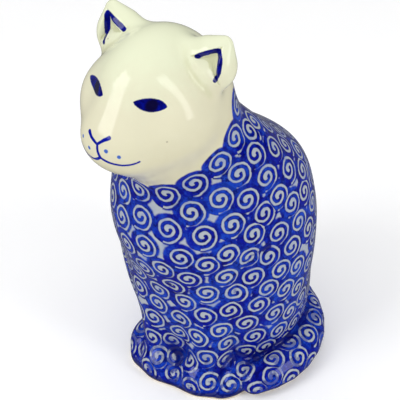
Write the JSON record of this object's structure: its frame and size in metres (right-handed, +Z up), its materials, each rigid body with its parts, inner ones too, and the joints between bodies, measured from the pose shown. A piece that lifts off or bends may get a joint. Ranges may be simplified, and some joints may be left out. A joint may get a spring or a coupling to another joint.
{
  "type": "souvenir figurine",
  "caption": "Hollow glazed stoneware cat figurine, sitting up with its tail round one side, cream head and blue stamped spiral pattern on the body.",
  "frame": {"origin": "middle of the figure's outer box in plan, at the level of the ground that it stands on", "axes": "+Z up, the cat faces -Y, the cat's left side, with the tail, is +X"},
  "size_m": [0.0854, 0.1044, 0.1611],
  "materials": {
    "cream_glaze": "clear gloss glaze over cream stoneware",
    "stamped_glaze": "clear gloss glaze over sponge-stamped cobalt spirals on a pale grey ground",
    "bare_clay": "unglazed fired stoneware"
  },
  "bodies": {
    "root": {"base_plate": "bare_clay", "torso_casting": "stamped_glaze", "head_casting": "cream_glaze", "tail": "stamped_glaze", "left_ear": "cream_glaze", "right_ear": "cream_glaze", "left_foreleg": "stamped_glaze", "right_foreleg": "stamped_glaze", "left_hind_paw": "stamped_glaze", "right_hind_paw": "stamped_glaze"}
  },
  "joints": []
}
